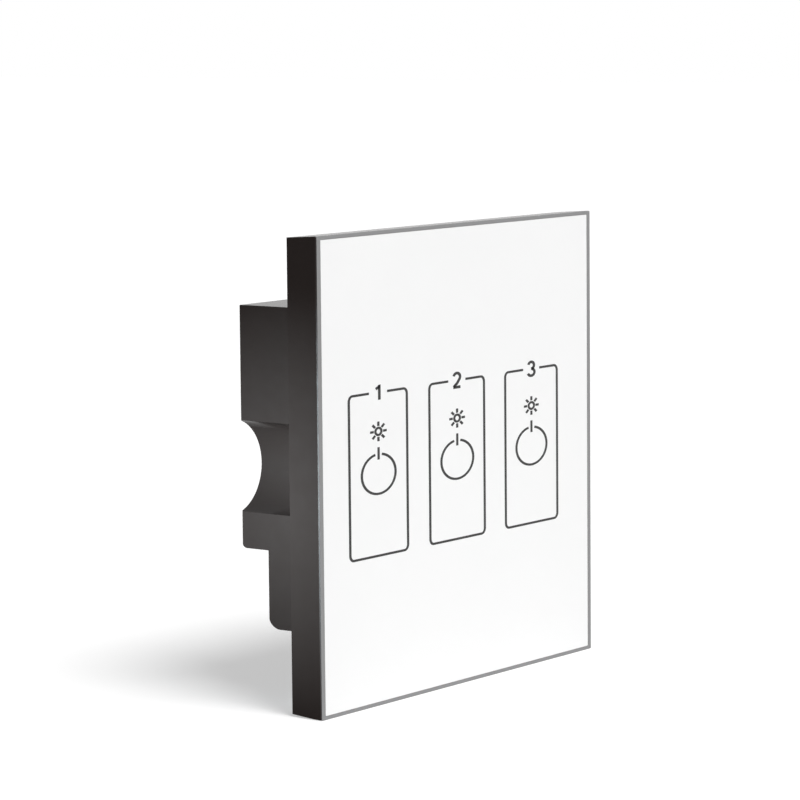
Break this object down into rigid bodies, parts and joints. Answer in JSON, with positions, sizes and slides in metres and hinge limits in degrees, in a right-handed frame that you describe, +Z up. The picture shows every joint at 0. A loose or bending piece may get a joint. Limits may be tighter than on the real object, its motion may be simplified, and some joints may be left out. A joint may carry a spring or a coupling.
{
  "type": "touch light switch",
  "caption": "Square wall switch with a white glass touch face in a thin grey trim, a dark shell that pulls off a steel bracket, and a stepped dark housing with screw terminals behind.",
  "frame": {"origin": "middle of the wall plane, midway between the two wall screws", "axes": "+X right as seen from the front, +Y into the wall, +Z up; the glass face is at Y = -7 mm"},
  "size_m": [0.086, 0.026, 0.086],
  "materials": {
    "white_glass": "gloss, painted white behind",
    "grey_trim": "satin",
    "dark_shell": "satin",
    "dark_housing": "satin",
    "clear_film": "matt",
    "board_green": "satin",
    "copper": "satin",
    "chip_black": "matt",
    "lamp_white": "satin",
    "lens_clear": "gloss",
    "connector_black": "matt",
    "gold_pin": "gloss",
    "zinc_steel": "satin",
    "spring_steel": "gloss",
    "insulation": "matt",
    "relay_blue": "satin",
    "ferrite": "matt",
    "winding": "satin",
    "film_yellow": "satin",
    "can_blue": "gloss",
    "fuse_grey": "gloss",
    "disc_blue": "satin",
    "terminal_black": "satin",
    "brass_metal": "satin"
  },
  "bodies": {
    "base": {"mounting_bracket": "zinc_steel", "spring_clips": "spring_steel", "insulation_sheet": "insulation", "rear_housing": "dark_housing", "housing_screws": "zinc_steel", "power_board": "board_green", "board_screws": "zinc_steel", "board_socket": "connector_black", "relay_1": "relay_blue", "relay_2": "relay_blue", "relay_3": "relay_blue", "transformer_core": "ferrite", "transformer_coil": "winding", "transformer_bobbin": "chip_black", "mains_capacitor": "film_yellow", "bulk_capacitor": "can_blue", "output_capacitor": "can_blue", "choke": "ferrite", "fuse": "fuse_grey", "varistor": "disc_blue", "bridge_rectifier": "chip_black", "supply_chip": "chip_black", "relay_driver": "chip_black", "terminal_poles": "terminal_black", "terminal_contacts": "brass_metal"},
    "front_cover": {"glass_panel": "white_glass", "trim_frame": "grey_trim", "front_shell": "dark_shell", "bonding_film": "clear_film", "touch_board": "board_green", "touch_electrodes": "copper", "touch_controller": "chip_black", "control_chip": "chip_black", "touch_chip_legs": "zinc_steel", "indicator_leds": "lamp_white", "lamp_lenses": "lens_clear", "sounder": "chip_black", "pin_header": "connector_black", "header_pins": "gold_pin"},
    "terminal_screw_1": {"terminal_screw_1": "zinc_steel"},
    "terminal_screw_2": {"terminal_screw_2": "zinc_steel"},
    "terminal_screw_3": {"terminal_screw_3": "zinc_steel"},
    "terminal_screw_4": {"terminal_screw_4": "zinc_steel"},
    "terminal_screw_5": {"terminal_screw_5": "zinc_steel"},
    "terminal_cage_1": {"terminal_cage_1": "brass_metal"},
    "terminal_cage_2": {"terminal_cage_2": "brass_metal"},
    "terminal_cage_3": {"terminal_cage_3": "brass_metal"},
    "terminal_cage_4": {"terminal_cage_4": "brass_metal"},
    "terminal_cage_5": {"terminal_cage_5": "brass_metal"}
  },
  "joints": [
    {"name": "front_cover_pull_off", "type": "slide", "parent": "base", "child": "front_cover", "axis": [0, -1, 0], "range_m": [0, 0.03]},
    {"name": "terminal_screw_1_turn", "type": "hinge", "parent": "base", "child": "terminal_screw_1", "pos_m": [-0.01524, 0.0114, -0.0249], "axis": [0, -1, 0], "range_deg": [0, 1801]},
    {"name": "terminal_cage_1_climb", "type": "slide", "parent": "base", "child": "terminal_cage_1", "axis": [0, 1, 0], "range_m": [0, 0.00225]},
    {"name": "terminal_screw_2_turn", "type": "hinge", "parent": "base", "child": "terminal_screw_2", "pos_m": [-0.00762, 0.0114, -0.0249], "axis": [0, -1, 0], "range_deg": [0, 1801]},
    {"name": "terminal_cage_2_climb", "type": "slide", "parent": "base", "child": "terminal_cage_2", "axis": [0, 1, 0], "range_m": [0, 0.00225]},
    {"name": "terminal_screw_3_turn", "type": "hinge", "parent": "base", "child": "terminal_screw_3", "pos_m": [0, 0.0114, -0.0249], "axis": [0, -1, 0], "range_deg": [0, 1801]},
    {"name": "terminal_cage_3_climb", "type": "slide", "parent": "base", "child": "terminal_cage_3", "axis": [0, 1, 0], "range_m": [0, 0.00225]},
    {"name": "terminal_screw_4_turn", "type": "hinge", "parent": "base", "child": "terminal_screw_4", "pos_m": [0.00762, 0.0114, -0.0249], "axis": [0, -1, 0], "range_deg": [0, 1801]},
    {"name": "terminal_cage_4_climb", "type": "slide", "parent": "base", "child": "terminal_cage_4", "axis": [0, 1, 0], "range_m": [0, 0.00225]},
    {"name": "terminal_screw_5_turn", "type": "hinge", "parent": "base", "child": "terminal_screw_5", "pos_m": [0.01524, 0.0114, -0.0249], "axis": [0, -1, 0], "range_deg": [0, 1801]},
    {"name": "terminal_cage_5_climb", "type": "slide", "parent": "base", "child": "terminal_cage_5", "axis": [0, 1, 0], "range_m": [0, 0.00225]}
  ],
  "couplings": [
    {"joint": "terminal_screw_1_turn", "follows": "terminal_cage_1_climb", "rad_per_m": 13963},
    {"joint": "terminal_screw_2_turn", "follows": "terminal_cage_2_climb", "rad_per_m": 13963},
    {"joint": "terminal_screw_3_turn", "follows": "terminal_cage_3_climb", "rad_per_m": 13963},
    {"joint": "terminal_screw_4_turn", "follows": "terminal_cage_4_climb", "rad_per_m": 13963},
    {"joint": "terminal_screw_5_turn", "follows": "terminal_cage_5_climb", "rad_per_m": 13963}
  ]
}
